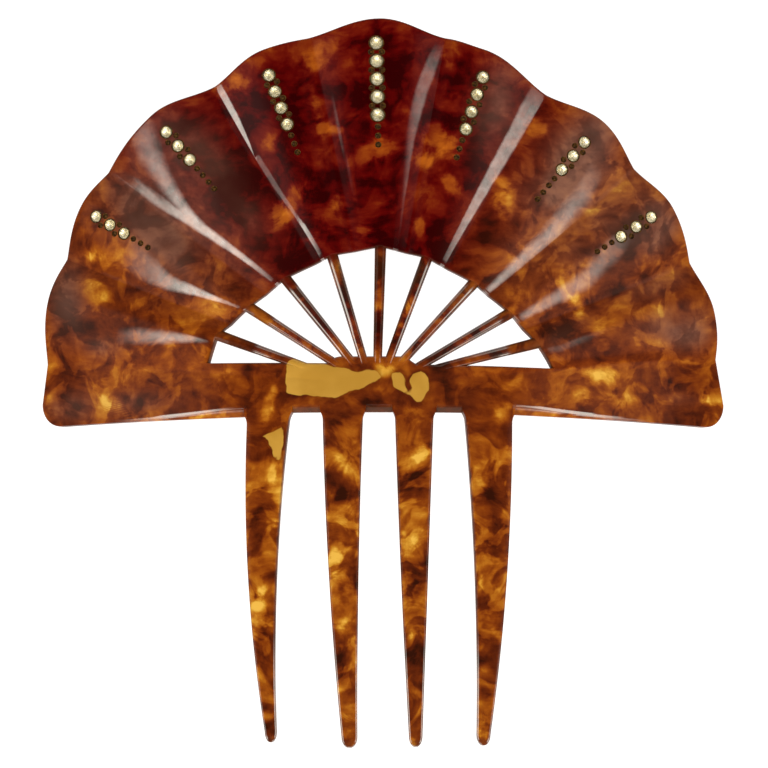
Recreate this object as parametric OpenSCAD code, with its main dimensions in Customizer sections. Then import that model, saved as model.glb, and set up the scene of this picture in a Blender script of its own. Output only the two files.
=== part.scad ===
// Mantilla comb. One bent sheet holds a pleated fan, a bar below its pierced windows,
// nine sticks across the windows and four tapering teeth. Cut stones sit in drilled seats.
//
// The comb is drawn flat, as the sheet is before it is bent: u runs to the right, v up
// towards the top of the fan and w out of the front. The hub, where the sticks meet, is
// at u = 0, v = 0. Angles on the fan are taken about the hub, from 0 at the left wing
// over 90 at the top to 180 at the right wing, and a reach is a distance from the hub.

/* [Sheet] */
// Thickness of the fan and the bar
sheet_thickness = 2.6; // [2.2:0.1:3.2]
// Radius that the sheet is bent to, about a line along the comb's length
bend_radius = 125; // [110:1:170]
// Angle that the fan leans down by as the comb lies on its wings
lean = 11; // [0:0.5:16]
// Angle that the comb rolls to the right by as it lies
roll = 0.6; // [-2:0.1:2]
// Height that a pleat rises by at the scalloped edge
pleat_rise = 2.3; // [0.8:0.1:3]
// Width and depth of the small round on the sheet's edges
edge_round = 0.5; // [0.3:0.1:0.8]

/* [Bar] */
// Height of the bar's top edge above the hub at its left end
bar_top_left = 5.3; // [4:0.1:6]
// Height of the bar's top edge above the hub at its right end
bar_top_right = 4.2; // [4:0.1:6]
// Depth of the bar's lower edge below the hub
bar_drop = 5.9; // [5.5:0.1:8]
// Width of the bevel along the lower edges
bevel_width = 1.7; // [1:0.1:2.2]
// Depth of that bevel
bevel_depth = 1.1; // [0.5:0.1:1.4]

/* [Wings] */
// Depth of the left wing's lower edge below the hub, at the teeth
wing_drop_left = 6.7; // [6.3:0.1:8]
// Depth of the right wing's lower edge below the hub, at the teeth
wing_drop_right = 6.2; // [6.1:0.1:8]
// Depth of the wings' lower edges below the hub, at the corners
wing_tip_drop = 7.4; // [6.6:0.1:9]
// Reach of the left wing from the hub to its tip, along the flat sheet
wing_reach_left = 79.8; // [78:0.1:83]
// Reach of the right wing from the hub to its tip
wing_reach_right = 80.6; // [78:0.1:83]
// Radius of the two lower corners
corner_radius = 5; // [3:0.1:5.5]

/* [Sticks] */
// Width of a stick where it leaves the fan
stick_root_width = 2.5; // [2:0.1:3]
// Width of a stick at the bar
stick_foot_width = 1.9; // [1.5:0.1:2.5]
// Thickness of a stick
stick_thickness = 2.3; // [1.8:0.1:2.5]
// Height that a stick's foot shows above the face of the bar
stick_relief = 0.15; // [0.1:0.05:0.4]

/* [Teeth] */
// Thickness of a tooth near its tip
tip_thickness = 1.6; // [1.2:0.1:2]
// Length of the rounded end of a tooth
tip_round = 2.4; // [1.5:0.1:3]

/* [Stones] */
// Gap between a stone and the wall of its seat
seat_gap = 0.08; // [0.05:0.01:0.15]
// Diameter of the small drilled pits beside the stones
pit_diameter = 1.4; // [1:0.1:1.6]
// Depth of those pits
pit_depth = 0.5; // [0.3:0.1:0.8]

/* [Hidden] */
// A row for each pleat, from left to right: the angle and reach of the crease before it,
// then the angle and reach of its crest. The last row is the crease after the last pleat.
pleats = [
    [4.8, 78.7, 15.1, 79.4],
    [22.3, 79.1, 31.5, 79.7],
    [38.0, 79.3, 50.0, 79.3],
    [61.0, 76.5, 71.0, 78.8],
    [78.0, 78.8, 89.5, 81.1],
    [100.0, 78.3, 106.0, 77.6],
    [119.0, 74.4, 129.5, 76.7],
    [139.0, 75.5, 148.0, 77.3],
    [157.7, 77.1, 166.7, 78.5],
    [174.3, 78.8, undef, undef]
];
// A row for each stick: the angle and reach of its root at the fan, and u at its foot.
sticks = [
    [17.6, 38.0, -16.7],
    [30.9, 34.0, -9.2],
    [48.2, 31.8, -5.9],
    [69.0, 30.7, -3.8],
    [89.0, 30.6, -1.2],
    [108.7, 29.7, 0.8],
    [131.0, 30.1, 3.1],
    [149.7, 32.1, 7.6],
    [163.9, 35.1, 12.9]
];
// A row for each tooth: u of its left and right side at the root, the same near the tip,
// how far the two sides bow to the right half way down, and v at the tip.
teeth = [
    [-29.7, -20.2, -25.8, -23.1, -1.8, -1.5, -78.5],
    [-13.1, -4.3, -9.0, -5.5, -0.7, -0.4, -79.8],
    [2.6, 11.0, 5.6, 8.6, -0.2, 0.0, -79.6],
    [17.8, 28.3, 20.4, 23.5, 1.0, 1.3, -79.2]
];
// A row for each line of stones: its angle, the reach of the outermost stone, the pitch,
// the number of stones, their diameter and the number of pits that trail to the hub.
rows = [
    [31.2, 75.0, 3.95, 3, 2.4, 3],
    [50.2, 74.0, 4.15, 3, 2.5, 4],
    [70.4, 72.9, 3.87, 4, 2.5, 3],
    [88.9, 75.6, 3.98, 5, 2.8, 3],
    [107.4, 71.5, 4.03, 4, 2.5, 3],
    [128.9, 70.1, 4.05, 3, 2.4, 4],
    [147.2, 71.3, 4.30, 3, 2.4, 3]
];
window_left = [-38.4, bar_top_left];
window_right = [37.5, bar_top_right];
pleat_start = 8;
pleat_tuck = 0.6;
pleat_full = 78;
pleat_slices = 8;
wing_slices = 7;
corner_slices = 5;
cross_steps = 5;
bevel_turn = 0.7;
stick_foot_v = 4.1;
stick_stations = [-0.05, 0.33, 0.67, 1];
stick_chamfer = 0.6;
hub_left = [-9, 2.6];
hub_right = [3.6, 2.6];
hub_radius = 3.8;
hub_inset = 0.2;
hub_sides = 24;
tooth_stations = [0.02, 0.18, 0.38, 0.58, 0.78];
tooth_flare = 0.4;
tooth_step = 0.2;
tooth_embed = 2.7;
tooth_sink = 0.25;
tooth_chamfer = 0.5;
tip_stations = [[1, 1], [0.4, 0.76], [0, 0.3]];
seat_depth = 1.4;
seat_wall = 0.5;
seat_floor = 0.4;
seat_sides = 12;
pit_sides = 6;
pit_turn = 10;
pit_lead = 2.6;
pit_pitch = 2.0;
pit_offset = 1.15;
stone_table = 0.56;
stone_crown = 0.45;
stone_girdle = 0.15;
stone_pavilion = 1.05;

function stone_name(r, s) = str("stone_", r + 1, "_", s + 1);
function mix(a, b, t) = a + (b - a) * t;
function ease(t) = (1 - cos(180 * t)) / 2;
function polar(angle, reach) = reach * [-cos(angle), sin(angle)];
function fan_angle(p) = atan2(p.y, -p.x);
function step_at(angle, angles) = max([for (i = [0 : len(angles) - 2]) angle >= angles[i] ? i : 0]);
function reversed(list) = [for (i = [len(list) - 1 : -1 : 0]) list[i]];

// Pleats: each is a wave with narrow creases and a broad crest, and grows from the hub to
// the edge. The tuck says how narrow the creases are: 1 makes them as broad as the crest.
creases = [for (p = pleats) p[0]];
function pleat_wave(angle) =
    let (i = step_at(angle, creases), crest = pleats[i][2], crease = creases[angle < crest ? i : i + 1])
    ease(pow(max(0, (angle - crease) / (crest - crease)), pleat_tuck));
function pleat_height(p) =
    let (growth = (norm(p) - pleat_start) / (pleat_full - pleat_start))
    pleat_rise * max(0, growth) * pleat_wave(fan_angle(p));

// From the flat sheet to the bent and leaning comb, and then to its place.
function bend_angle(u) = u / bend_radius * 180 / PI + roll;
function bent(p, w) =
    let (
        arm = bend_radius + w,
        x = arm * sin(bend_angle(p.x)),
        z = arm * cos(bend_angle(p.x)) - bend_radius
    )
    [x, p.y * cos(lean) + z * sin(lean), z * cos(lean) - p.y * sin(lean)];
function place(p, w) = bent(p, w) - foot_point;

// The scalloped edge rises from each crease to a crest and falls to the next crease.
function edge_reach(i, angle) =
    let (this = pleats[i], next = pleats[i + 1])
    angle < this[2]
        ? mix(this[1], this[3], ease((angle - this[0]) / (this[2] - this[0])))
        : mix(this[3], next[1], ease((angle - this[2]) / (next[0] - this[2])));

// The windows' upper edge is a line of straight chords from stick to stick.
window_rim = concat([window_left], [for (s = sticks) polar(s[0], s[1])], [window_right]);
rim_angles = [for (p = window_rim) fan_angle(p)];
function rim_point(angle) =
    let (
        i = step_at(angle, rim_angles),
        chord = window_rim[i + 1] - window_rim[i],
        ray = polar(angle, 1)
    )
    ray * cross(window_rim[i], chord) / cross(ray, chord);
function rim_angle(angle) = lookup(angle, [
    [creases[0], rim_angles[0]],
    [creases[1], creases[1]],
    [creases[8], creases[8]],
    [creases[9], rim_angles[10]]
]);

// The sheet is a ring of cuts around the windows. A cut is [inner end, outer end, bevel],
// where bevel goes from 0 for a plain edge to 1 for the full bevel.
pleat_cuts = [
    for (i = [0 : len(pleats) - 2], k = [0 : pleat_slices - 1])
        let (
            share = 2 * k / pleat_slices,
            crest = pleats[i][2],
            angle = share < 1 ? mix(creases[i], crest, share) : mix(crest, creases[i + 1], share - 1)
        )
        [rim_point(rim_angle(angle)), polar(angle, edge_reach(i, angle)), 0]
];
last_crease_cut = [window_right, polar(creases[9], pleats[9][1]), 0];

// Half of the lower part: side is -1 for the left wing and 1 for the right one.
function wing_root(side) = side < 0 ? [teeth[0][0], -wing_drop_left] : [teeth[3][1], -wing_drop_right];
function bar_top(u) = lookup(u, [[window_left.x, bar_top_left], [window_right.x, bar_top_right]]);
function wing_corner(side) =
    let (reach = side < 0 ? wing_reach_left : wing_reach_right)
    [side * (reach - corner_radius), corner_radius - wing_tip_drop];
function wing_edge(side) =
    let (
        root = wing_root(side),
        corner = wing_corner(side),
        crease = side < 0 ? polar(creases[0], pleats[0][1]) : last_crease_cut[1]
    )
    concat(
        [for (k = [0 : wing_slices - 1]) mix(root, corner - [0, corner_radius], k / wing_slices)],
        [for (k = [0 : corner_slices - 1])
            let (turn = 90 * k / corner_slices)
            corner + corner_radius * [side * sin(turn), -cos(turn)]],
        [for (k = [0 : 2]) mix(corner + [side * corner_radius, 0], crease, k / 3)]
    );
function wing_cuts(side) =
    let (
        edge = wing_edge(side),
        root_u = wing_root(side).x,
        window = side < 0 ? window_left : window_right
    )
    [for (k = [0 : len(edge) - 1])
        [mix([root_u, bar_top(root_u)], window, k / len(edge)), edge[k], max(0, 1 - k / wing_slices)]];

// The bar's lower edge is bevelled between the teeth and plain where a tooth runs into it.
function gap_cuts(left, right) = [
    [right + bevel_turn, 0], [right - bevel_turn, 1], [(left + right) / 2, 1],
    [left + bevel_turn, 1], [left - bevel_turn, 0]
];
bar_stations = concat(
    [[teeth[3][1] - bevel_turn, 0]],
    [for (i = [3 : -1 : 1]) each gap_cuts(teeth[i - 1][1], teeth[i][0])],
    [[teeth[0][0] + bevel_turn, 0]]
);
bar_cuts = [for (s = bar_stations) [[s[0], bar_top(s[0])], [s[0], -bar_drop], s[1]]];
cuts = concat(
    wing_cuts(-1), pleat_cuts, [last_crease_cut], reversed(wing_cuts(1)), bar_cuts
);

// Points around one cut: along the back from the inner end, then along the front.
function cut_points(cut) =
    let (
        rim = mix(edge_round, bevel_width, cut[2]),
        drop = mix(edge_round, bevel_depth, cut[2]),
        span = norm(cut[1] - cut[0]),
        inner = edge_round / span,
        outer = 1 - rim / span,
        shares = [for (k = [0 : cross_steps]) mix(inner, outer, k / cross_steps)],
        back = concat([[0, edge_round]], [for (t = shares) [t, 0]], [[1, edge_round]]),
        front = concat([[0, edge_round]], [for (t = shares) [t, 0]], [[1, drop]]),
        loop = concat(
            [for (n = back) [n[0], n[1]]],
            [for (n = reversed(front)) [n[0], sheet_thickness - n[1]]]
        )
    )
    [for (n = loop) let (p = mix(cut[0], cut[1], n[0])) [p, n[1] + pleat_height(p)]];
sheet_points = [for (cut = cuts) each cut_points(cut)];

// A bar-like section across a stick or a tooth, with chamfered corners.
function section(middle, across, half, low, high, chamfer) =
    let (c = min(chamfer, 0.45 * (high - low), 0.9 * half))
    [for (n = [
        [-half, low + c], [c - half, low], [half - c, low], [half, low + c],
        [half, high - c], [half - c, high], [c - half, high], [-half, high - c]
    ]) [middle + across * n[0], n[1]]];

function stick_section(stick, t) =
    let (
        root = polar(stick[0], stick[1]),
        foot = [stick[2], stick_foot_v],
        along = (foot - root) / norm(foot - root),
        lift = pleat_height(root) * (1 - t),
        high = lift + mix(sheet_thickness - 0.1, sheet_thickness + stick_relief, max(0, t))
    )
    section(
        mix(root, foot, t), [-along.y, along.x], mix(stick_root_width, stick_foot_width, t) / 2,
        high - stick_thickness, high, stick_chamfer
    );

function tooth_slice(tooth, v, t, width, flare) =
    let (
        left = mix(tooth[0], tooth[2], t) + tooth[4] * 4 * t * (1 - t) - flare,
        right = mix(tooth[1], tooth[3], t) + tooth[5] * 4 * t * (1 - t) + flare,
        thickness = mix(sheet_thickness, tip_thickness, t) * mix(1, width, 0.5)
    )
    section(
        [(left + right) / 2, v], [1, 0], (right - left) / 2 * width,
        (sheet_thickness - thickness) / 2, (sheet_thickness + thickness) / 2, tooth_chamfer
    );
function tooth_sections(tooth) =
    let (start = -bar_drop - tooth_step, end = tooth[6] + tip_round, middle = sheet_thickness / 2)
    concat(
        [[for (n = tooth_slice(tooth, start + tooth_embed, 0, 1, 0)) [n[0], mix(n[1], middle, tooth_sink)]]],
        [tooth_slice(tooth, start, 0, 1, tooth_flare)],
        [for (t = tooth_stations) tooth_slice(tooth, mix(start, end, t), t, 1, 0)],
        [for (s = tip_stations) tooth_slice(tooth, mix(tooth[6], end, s[0]), 1, s[1], 0)]
    );
tip_points = [for (tooth = teeth, n = tooth_slice(tooth, tooth[6], 1, 0.3, 0)) n];

// The origin is the middle of the comb's foot print.
outer_points = [for (n = concat(sheet_points, tip_points)) bent(n[0], n[1])];
lowest = [for (axis = [0 : 2]) min([for (p = outer_points) p[axis]])];
highest = [for (axis = [0 : 2]) max([for (p = outer_points) p[axis]])];
foot_point = [(lowest.x + highest.x) / 2, (lowest.y + highest.y) / 2, lowest.z];

module loft(sections) {
    size = len(sections[0]);
    last = len(sections) - 1;
    polyhedron(
        [for (s = sections, n = s) place(n[0], n[1])],
        concat(
            [[for (k = [0 : size - 1]) k], [for (k = [size - 1 : -1 : 0]) last * size + k]],
            [for (i = [0 : last - 1], k = [0 : size - 1])
                let (a = i * size + k, b = i * size + (k + 1) % size)
                each [[a, a + size, b + size], [a, b + size, b]]]
        )
    );
}

module sheet() {
    size = 2 * (cross_steps + 3);
    count = len(cuts);
    polyhedron(
        [for (n = sheet_points) place(n[0], n[1])],
        [for (i = [0 : count - 1], k = [0 : size - 1])
            let (
                a = i * size + k,
                b = i * size + (k + 1) % size,
                c = ((i + 1) % count) * size + (k + 1) % size,
                d = ((i + 1) % count) * size + k
            )
            each [[a, c, b], [a, d, c]]]
    );
}

module hub() {
    hull() for (end = [hub_left, hub_right]) on_sheet(end, hub_inset)
        cylinder(h = sheet_thickness - 2 * hub_inset, r = hub_radius, $fn = hub_sides);
}

module on_sheet(p, w) {
    translate(place(p, w)) rotate([-lean, 0, 0]) rotate([0, bend_angle(p.x), 0]) children();
}

function row_point(row, reach) = polar(row[0], reach);
function face_height(p) = sheet_thickness + pleat_height(p);
function stone_point(row, s) = row_point(row, row[1] - s * row[2]);

module seats(row) {
    for (s = [0 : row[3] - 1]) {
        p = stone_point(row, s);
        on_sheet(p, face_height(p)) hull() {
            translate([0, 0, -seat_wall]) cylinder(h = 2 * seat_wall, d = row[4] + 2 * seat_gap, $fn = seat_sides);
            translate([0, 0, -seat_depth]) cylinder(h = seat_wall, d = seat_floor * row[4], $fn = seat_sides);
        }
    }
}

// Pits: a pair between each two stones and a line of them inside the last stone.
function pit_points(row) = concat(
    [for (s = [0 : row[3] - 2], side = [-1, 1])
        row_point(row, row[1] - (s + 0.5) * row[2]) + side * pit_offset * [sin(row[0]), cos(row[0])]],
    [for (k = [0 : row[5] - 1])
        row_point(row, row[1] - (row[3] - 1) * row[2] - pit_lead - k * pit_pitch)]
);

module pits(row) {
    for (p = pit_points(row)) on_sheet(p, face_height(p) - pit_depth)
        rotate(pit_turn) cylinder(h = 2 * pit_depth, d = pit_diameter, $fn = pit_sides);
}

module comb() color("saddlebrown") difference() {
    union() {
        sheet();
        hub();
        for (stick = sticks) loft([for (t = stick_stations) stick_section(stick, t)]);
        for (tooth = teeth) loft(tooth_sections(tooth));
    }
    for (row = rows) {
        seats(row);
        pits(row);
    }
}

// A cut stone: an eight-sided table, a crown of sixteen facets, a girdle and a pavilion.
module stone(row, s) color("lightyellow") {
    p = stone_point(row, s);
    radius = row[4] / 2;
    ring = function (r, turn, z) [for (k = [0 : 7]) [r * cos(45 * k + turn), r * sin(45 * k + turn), z]];
    on_sheet(p, face_height(p)) polyhedron(
        concat(
            ring(radius * stone_table, 22.5, stone_crown), ring(radius, 0, 0),
            ring(radius, 0, -stone_girdle), [[0, 0, -stone_pavilion]]
        ),
        concat(
            [[for (k = [7 : -1 : 0]) k]],
            [for (k = [0 : 7]) let (n = (k + 1) % 8) each [
                [k, n, 8 + n], [k, 8 + n, 8 + k],
                [8 + k, 8 + n, 16 + n, 16 + k], [16 + k, 16 + n, 24]
            ]]
        )
    );
}

comb();
for (r = [0 : len(rows) - 1], s = [0 : rows[r][3] - 1])
    stone(rows[r], s);
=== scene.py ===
import bmesh
import bpy
import math
from mathutils import Matrix, Vector


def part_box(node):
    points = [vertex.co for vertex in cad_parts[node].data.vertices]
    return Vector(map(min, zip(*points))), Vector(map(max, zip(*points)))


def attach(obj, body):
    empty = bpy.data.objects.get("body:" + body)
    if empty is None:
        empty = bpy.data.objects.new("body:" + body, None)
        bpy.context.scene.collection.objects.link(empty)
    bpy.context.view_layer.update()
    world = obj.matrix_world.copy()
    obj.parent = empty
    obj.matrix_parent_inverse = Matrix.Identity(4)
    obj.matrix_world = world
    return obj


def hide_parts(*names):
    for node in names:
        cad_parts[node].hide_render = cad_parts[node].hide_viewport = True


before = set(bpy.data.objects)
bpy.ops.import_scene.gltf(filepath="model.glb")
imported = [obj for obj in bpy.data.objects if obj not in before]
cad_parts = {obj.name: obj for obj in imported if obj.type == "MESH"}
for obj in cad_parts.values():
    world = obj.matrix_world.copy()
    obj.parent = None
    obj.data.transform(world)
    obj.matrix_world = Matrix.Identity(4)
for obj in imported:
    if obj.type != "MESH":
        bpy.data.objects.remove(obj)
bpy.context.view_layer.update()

# The comb is modelled flat and in millimetres, as the sheet is before it is bent: u to the
# right, v up the fan, w out of the front, with the hub of the sticks at 0, 0. Pressing the
# pleats and bending comes last, and brings it to metres and to its place.
sheet = {
    "thickness": 2.6,
    "bendRadius": 125,
    "lean": 11,
    "roll": 0.6,
    "pleatRise": 2.3,
    "pleatStart": 8,
    "pleatFull": 78,
    "pleatTuck": 0.6,         # below 1 the creases are narrower than the crests
    "edgeRound": 0.5,
    "smoothBelow": 32,        # degrees between faces that are shaded smooth
    "barTopLeft": (-38.4, 5.3),
    "barTopRight": (37.5, 4.2),
    "barDrop": 5.9,
    "bevelWidth": 1.7,
    "bevelDepth": 1.1,
    "bevelEnd": 0.3,          # where a bevel stops short of a tooth
    "bevelFade": 0.72,        # share of a wing's edge over which its bevel fades out
    "hubTop": 6.4,
    "hubRound": 3.8,
    "hubReach": (-12.8, 7.4),
    "frontSteps": 44,
    "backSteps": 14,
    "pleatSteps": 28,
    "wingSteps": 22,
    "cornerSteps": 12,
    "sideSteps": 6,           # from a wing's corner up to the first crease
    "barStep": 0.9,
    "endSteps": 5,            # down a tooth's square end: as many points as on a rounded edge
    # points of a flat bevel: shares of its width and of its depth
    "bevelPoints": [(0.1, 0.05), (0.5, 0.45), (0.9, 0.86), (1, 1)],
}
wings = {
    "drop": {-1: 6.7, 1: 6.2},
    "reach": {-1: 79.8, 1: 80.6},
    "tipDrop": 7.4,
    "cornerRadius": 5,
}
# crease angle, its reach, crest angle, its reach
pleats = [
    (4.8, 78.7, 15.1, 79.4),
    (22.3, 79.1, 31.5, 79.7),
    (38.0, 79.3, 50.0, 79.3),
    (61.0, 76.5, 71.0, 78.8),
    (78.0, 78.8, 89.5, 81.1),
    (100.0, 78.3, 106.0, 77.6),
    (119.0, 74.4, 129.5, 76.7),
    (139.0, 75.5, 148.0, 77.3),
    (157.7, 77.1, 166.7, 78.5),
]
lastCrease = (174.3, 78.8)
# root angle, root reach, u at the foot
sticks = [
    (17.6, 38.0, -16.7),
    (30.9, 34.0, -9.2),
    (48.2, 31.8, -5.9),
    (69.0, 30.7, -3.8),
    (89.0, 30.6, -1.2),
    (108.7, 29.7, 0.8),
    (131.0, 30.1, 3.1),
    (149.7, 32.1, 7.6),
    (163.9, 35.1, 12.9),
]
# u of the left and right side at the root, the same near the tip, left and right bow, v at the tip
teeth = [
    (-29.7, -20.2, -25.8, -23.1, -1.8, -1.5, -78.5),
    (-13.1, -4.3, -9.0, -5.5, -0.7, -0.4, -79.8),
    (2.6, 11.0, 5.6, 8.6, -0.2, 0.0, -79.6),
    (17.8, 28.3, 20.4, 23.5, 1.0, 1.3, -79.2),
]
# angle, reach of the outermost stone, pitch, number of stones, diameter, trailing pits
stoneRows = [
    (31.2, 75.0, 3.95, 3, 2.4, 3),
    (50.2, 74.0, 4.15, 3, 2.5, 4),
    (70.4, 72.9, 3.87, 4, 2.5, 3),
    (88.9, 75.6, 3.98, 5, 2.8, 3),
    (107.4, 71.5, 4.03, 4, 2.5, 3),
    (128.9, 70.1, 4.05, 3, 2.4, 4),
    (147.2, 71.3, 4.30, 3, 2.4, 3),
]
creases = [p[0] for p in pleats] + [lastCrease[0]]


def mix(a, b, t):
    return a + (b - a) * t


def clamp(t):
    return max(0.0, min(1.0, t))


def ease(t):
    return (1 - math.cos(math.pi * clamp(t))) / 2


def polar(angle, reach):
    turn = math.radians(angle)
    return Vector((-reach * math.cos(turn), reach * math.sin(turn)))


def fanAngle(u, v):
    return math.degrees(math.atan2(v, -u))


def between(value, pairs):  # a value read from a short list of pairs, with straight lines between
    for (a, b), (c, d) in zip(pairs, pairs[1:]):
        if value <= c:
            return mix(b, d, clamp((value - a) / (c - a)))
    return pairs[-1][1]


def pleatHeight(u, v):
    angle = fanAngle(u, v)
    if angle <= creases[0] or angle >= creases[-1]:
        return 0.0
    step = max(i for i in range(len(pleats)) if angle >= creases[i])
    crest = pleats[step][2]
    crease = creases[step] if angle < crest else creases[step + 1]
    growth = (math.hypot(u, v) - sheet["pleatStart"]) / (sheet["pleatFull"] - sheet["pleatStart"])
    wave = ease(((angle - crease) / (crest - crease)) ** sheet["pleatTuck"])
    return sheet["pleatRise"] * max(0.0, growth) * wave


def bent(u, v, w):  # from the flat sheet to the comb as it lies, still in millimetres
    arm = sheet["bendRadius"] + w
    turn = u / sheet["bendRadius"] + math.radians(sheet["roll"])
    lean = math.radians(sheet["lean"])
    z = arm * math.cos(turn) - sheet["bendRadius"]
    return Vector((
        arm * math.sin(turn),
        v * math.cos(lean) + z * math.sin(lean),
        z * math.cos(lean) - v * math.sin(lean),
    ))


def deselectAll():
    if bpy.context.object and bpy.context.object.mode != "OBJECT":
        bpy.ops.object.mode_set(mode="OBJECT")
    bpy.ops.object.select_all(action="DESELECT")


def makeActive(piece):
    deselectAll()
    piece.select_set(True)
    bpy.context.view_layer.objects.active = piece


def cutWith(piece, tool, operation):
    makeActive(piece)
    cutter = piece.modifiers.new(tool.name, "BOOLEAN")
    cutter.operation = operation
    cutter.solver = "EXACT"
    cutter.material_mode = "INDEX"
    cutter.object = tool
    bpy.ops.object.modifier_apply(modifier=cutter.name)
    bpy.data.objects.remove(tool)


def joinPieces(pieces):
    deselectAll()
    for piece in pieces:
        piece.select_set(True)
    bpy.context.view_layer.objects.active = pieces[0]
    bpy.ops.object.join()
    return pieces[0]


# The sheet is a ring of cuts around the windows. A cut is its inner end, its outer end, how
# far its lower edge is bevelled, and the tooth that grows from it.
windowRim = [Vector(sheet["barTopLeft"])]
windowRim += [polar(s[0], s[1]) for s in sticks]
windowRim += [Vector(sheet["barTopRight"])]
rimAngles = [fanAngle(p.x, p.y) for p in windowRim]


def rimPoint(angle):
    step = max([i for i in range(len(rimAngles) - 1) if angle >= rimAngles[i]] or [0])
    start, chord, ray = windowRim[step], windowRim[step + 1] - windowRim[step], polar(angle, 1)
    return ray * (start.x * chord.y - start.y * chord.x) / (ray.x * chord.y - ray.y * chord.x)


def rimAngle(angle):
    return between(angle, [
        (creases[0], rimAngles[0]), (creases[1], creases[1]),
        (creases[8], creases[8]), (creases[9], rimAngles[-1]),
    ])


def barTop(u):
    line = between(u, [sheet["barTopLeft"], sheet["barTopRight"]])
    left, right = sheet["hubReach"]
    away = max(left + sheet["hubRound"] - u, u - right + sheet["hubRound"], 0)
    if away >= sheet["hubRound"]:
        return line
    return max(line, sheet["hubTop"] - sheet["hubRound"] + math.sqrt(sheet["hubRound"] ** 2 - away ** 2))


def barBottom(u):
    return between(u, [
        (teeth[0][0], -wings["drop"][-1]), (teeth[0][1], -sheet["barDrop"]),
        (teeth[3][0], -sheet["barDrop"]), (teeth[3][1], -wings["drop"][1]),
    ])


def fanCuts():
    half = sheet["pleatSteps"] // 2
    for i, (crease, creaseReach, crest, crestReach) in enumerate(pleats):
        nextReach = pleats[i + 1][1] if i + 1 < len(pleats) else lastCrease[1]
        for k in range(2 * half):
            t = k / half
            if t < 1:
                angle, reach = mix(crease, crest, t), mix(creaseReach, crestReach, ease(t))
            else:
                angle, reach = mix(crest, creases[i + 1], t - 1), mix(crestReach, nextReach, ease(t - 1))
            yield rimPoint(rimAngle(angle)), polar(angle, reach), 0, None
    yield Vector(sheet["barTopRight"]), polar(*lastCrease), 0, None


def wingCuts(side):
    tooth = teeth[0][0] if side < 0 else teeth[3][1]
    rootU = tooth + side * (toothForm["flare"] + sheet["bevelEnd"])
    root = Vector((rootU, -wings["drop"][side]))
    radius = wings["cornerRadius"]
    corner = Vector((side * (wings["reach"][side] - radius), radius - wings["tipDrop"]))
    crease = polar(creases[0], pleats[0][1]) if side < 0 else polar(*lastCrease)
    window = Vector(sheet["barTopLeft"] if side < 0 else sheet["barTopRight"])
    below, steps, sideSteps = corner - Vector((0, radius)), sheet["wingSteps"], sheet["sideSteps"]
    edge = [mix(root, below, k / steps) for k in range(steps)]
    for k in range(sheet["cornerSteps"]):
        turn = math.pi / 2 * k / sheet["cornerSteps"]
        edge.append(corner + radius * Vector((side * math.sin(turn), -math.cos(turn))))
    beside = corner + Vector((side * radius, 0))
    edge += [mix(beside, crease, k / sideSteps) for k in range(sideSteps)]
    for k, point in enumerate(edge):
        bevel = ease(1 - k / (sheet["bevelFade"] * steps))
        yield mix(Vector((rootU, barTop(rootU))), window, k / len(edge)), point, bevel, None


def spread(start, end, step):
    count = max(2, round(abs(end - start) / step))
    return [mix(start, end, k / count) for k in range(count + 1)]


def barCuts():  # from the right wing to the left one
    turn = sheet["edgeRound"]
    for i in range(3, -1, -1):
        left, right = teeth[i][0] - toothForm["flare"], teeth[i][1] + toothForm["flare"]
        across = [right, right - turn / 2] + spread(right - turn, left + turn, sheet["barStep"])
        for u in across + [left + turn / 2, left]:
            yield Vector((u, barTop(u))), Vector((u, barBottom(u))), 0, i
        if i > 0:
            ahead = teeth[i - 1][1] + toothForm["flare"] + sheet["bevelEnd"]
            for u in spread(left - sheet["bevelEnd"], ahead, sheet["barStep"]):
                yield Vector((u, barTop(u))), Vector((u, -sheet["barDrop"])), 1, None


def cutPoints(cut):  # once around a cut: front, outer edge, back, inner edge
    inner, outer, bevel, tooth = cut
    along = (outer - inner).normalized()
    span = (outer - inner).length
    thick, small = sheet["thickness"], sheet["edgeRound"]
    rim, drop = mix(small, sheet["bevelWidth"], bevel), mix(small, sheet["bevelDepth"], bevel)
    turns = [math.radians(a) for a in (67.5, 45, 22.5, 0)]
    if tooth is None:
        frontEnd, backEnd = span - rim, span - small
        edge = []
        for turn, (share, fall) in zip(turns, sheet["bevelPoints"]):
            roundCorner = Vector((frontEnd + rim * math.cos(turn), thick - drop + drop * math.sin(turn)))
            flatBevel = Vector((frontEnd + rim * share, thick - drop * fall))
            edge.append(mix(roundCorner, flatBevel, bevel))
        edge += [(backEnd + small * math.cos(t), small - small * math.sin(t)) for t in reversed(turns)]
    else:  # a plain square end, which the tooth grows from
        frontEnd = backEnd = span
        steps = sheet["endSteps"]
        down = [mix(thick - small, small, k / steps) for k in range(steps + 1)]
        edge = [(span, w) for w in [thick - small / 2] + down + [small / 2]]
    frontSteps, backSteps = sheet["frontSteps"], sheet["backSteps"]
    places = [(mix(small, frontEnd, k / frontSteps), thick) for k in range(frontSteps + 1)]
    places += edge
    places += [(mix(backEnd, small, k / backSteps), 0) for k in range(backSteps + 1)]
    places += [(small - small * math.cos(t), small - small * math.sin(t)) for t in turns]
    places += [(small - small * math.cos(t), thick - small + small * math.sin(t))
               for t in reversed(turns)]
    return [(*(inner + along * reach), w) for reach, w in places]


def markVertices(piece, name, values):
    layer = piece.data.attributes.new(name, "INT", "POINT")
    layer.data.foreach_set("value", values)


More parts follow.
